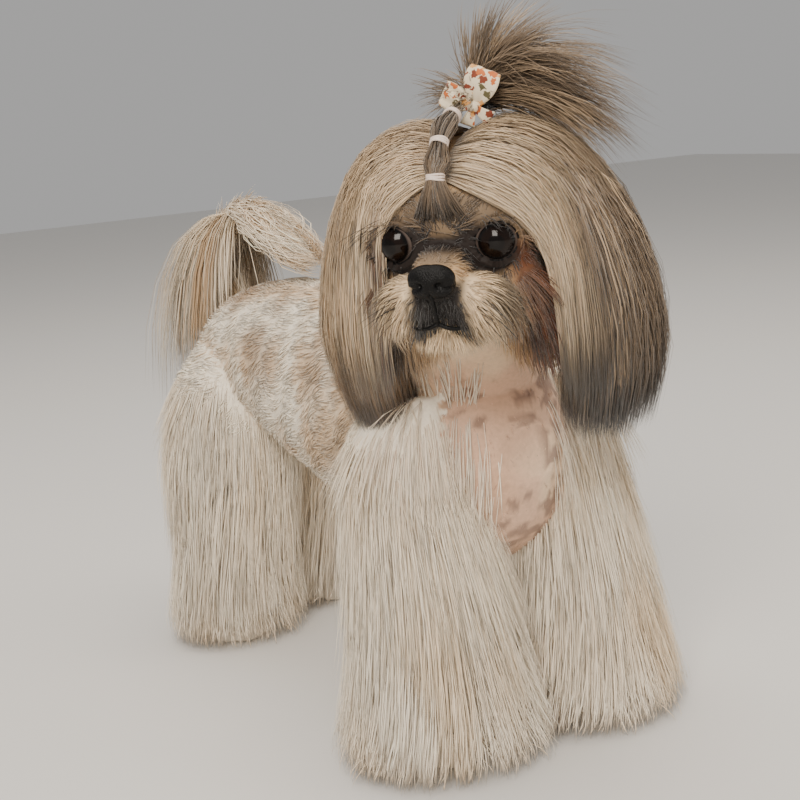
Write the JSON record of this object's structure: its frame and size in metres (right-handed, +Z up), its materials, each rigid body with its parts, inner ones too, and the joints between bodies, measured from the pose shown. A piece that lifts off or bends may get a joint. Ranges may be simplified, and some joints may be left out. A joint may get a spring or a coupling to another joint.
{
  "type": "shih tzu",
  "caption": "Life-size standing small dog with a short body trim, long coat on legs, ears and tail, and a banded topknot with a bow.",
  "frame": {"origin": "bottom centre of the bounding box, on the floor that the dog stands on", "axes": "+Z up, -Y forwards along the body, +X to the dog's left"},
  "size_m": [0.2116, 0.478, 0.4048],
  "materials": {
    "body_coat": "short soft coat",
    "face_coat": "silky coat",
    "ear_coat": "long silky coat",
    "leg_coat": "long straight coat",
    "tail_coat": "long plume",
    "nose_leather": "moist pebbled",
    "eye_gloss": "wet gloss",
    "band_rubber": "satin",
    "bow_cloth": "printed ribbon"
  },
  "bodies": {
    "root": {"band_1": "band_rubber", "band_2": "band_rubber", "band_3": "band_rubber", "bow": "bow_cloth", "chin": "face_coat", "ear_left": "ear_coat", "ear_right": "ear_coat", "eye_left": "eye_gloss", "eye_right": "eye_gloss", "head": "face_coat", "leg_fore_left": "leg_coat", "leg_fore_right": "leg_coat", "leg_hind_left": "leg_coat", "leg_hind_right": "leg_coat", "muzzle": "face_coat", "neck": "body_coat", "nose": "nose_leather", "tail_bend": "tail_coat", "tail_root": "tail_coat", "tail_tip": "tail_coat", "topknot_braid": "ear_coat", "topknot_spray": "ear_coat", "torso": "body_coat"}
  },
  "joints": []
}
